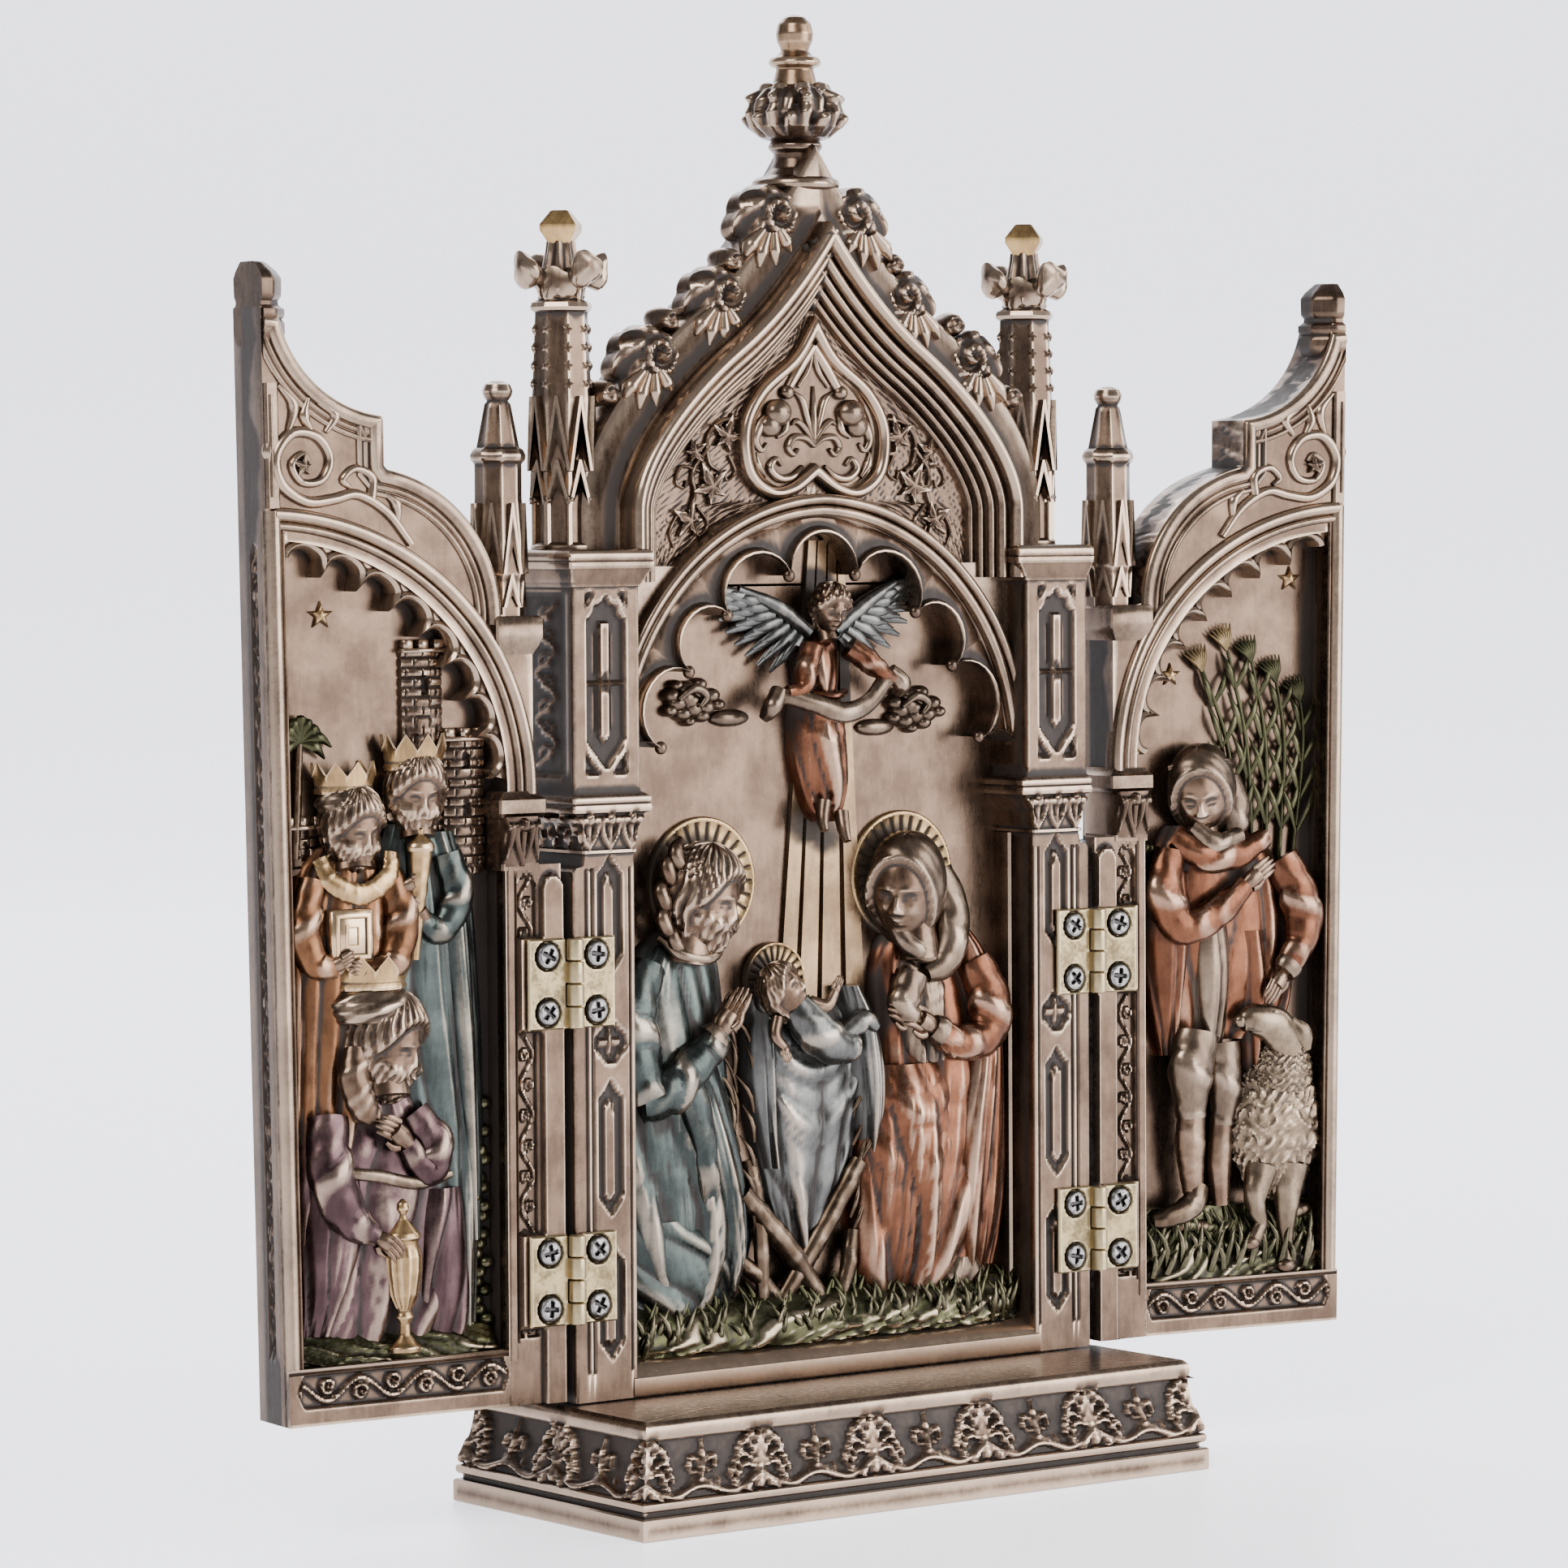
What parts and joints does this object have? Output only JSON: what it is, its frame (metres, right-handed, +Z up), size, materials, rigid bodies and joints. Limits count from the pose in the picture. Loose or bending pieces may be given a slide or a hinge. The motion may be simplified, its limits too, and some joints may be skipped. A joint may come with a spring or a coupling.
{
  "type": "triptych altarpiece",
  "caption": "Standing miniature triptych altarpiece: a gabled shrine with a nativity relief on a moulded plinth, and hinged wings with relief figures that close over it.",
  "frame": {"origin": "centre of the plinth's underside, where the altarpiece stands", "axes": "+Z up, -Y out of the shrine's front towards the viewer, +X to the viewer's right"},
  "size_m": [0.2458, 0.0604, 0.276],
  "materials": {
    "bronze": "antique bronze with dark recesses, rubbed pale gold edges and thin coloured glazes on the figures",
    "hinge_brass": "satin, slightly tarnished",
    "screw_steel": "dark, blackened"
  },
  "bodies": {
    "altarpiece": {"plinth": "bronze", "shrine": "bronze", "hinge_left_upper_shrine_leaf": "hinge_brass", "hinge_left_lower_shrine_leaf": "hinge_brass", "hinge_right_upper_shrine_leaf": "hinge_brass", "hinge_right_lower_shrine_leaf": "hinge_brass", "screw_left_upper_shrine_low": "screw_steel", "screw_left_upper_shrine_top": "screw_steel", "screw_left_lower_shrine_low": "screw_steel", "screw_left_lower_shrine_top": "screw_steel", "screw_right_upper_shrine_low": "screw_steel", "screw_right_upper_shrine_top": "screw_steel", "screw_right_lower_shrine_low": "screw_steel", "screw_right_lower_shrine_top": "screw_steel"},
    "left_door": {"left_wing": "bronze", "hinge_left_upper_wing_leaf": "hinge_brass", "hinge_left_lower_wing_leaf": "hinge_brass", "screw_left_upper_wing_low": "screw_steel", "screw_left_upper_wing_top": "screw_steel", "screw_left_lower_wing_low": "screw_steel", "screw_left_lower_wing_top": "screw_steel"},
    "right_door": {"right_wing": "bronze", "hinge_right_upper_wing_leaf": "hinge_brass", "hinge_right_lower_wing_leaf": "hinge_brass", "screw_right_upper_wing_low": "screw_steel", "screw_right_upper_wing_top": "screw_steel", "screw_right_lower_wing_low": "screw_steel", "screw_right_lower_wing_top": "screw_steel"}
  },
  "joints": [
    {"name": "left_hinge", "type": "hinge", "parent": "altarpiece", "child": "left_door", "pos_m": [-0.0616, -0.0036, 0.1], "axis": [0, 0, 1], "range_deg": [-3, 183]},
    {"name": "right_hinge", "type": "hinge", "parent": "altarpiece", "child": "right_door", "pos_m": [0.0616, -0.0036, 0.1], "axis": [0, 0, -1], "range_deg": [-13, 173]}
  ]
}
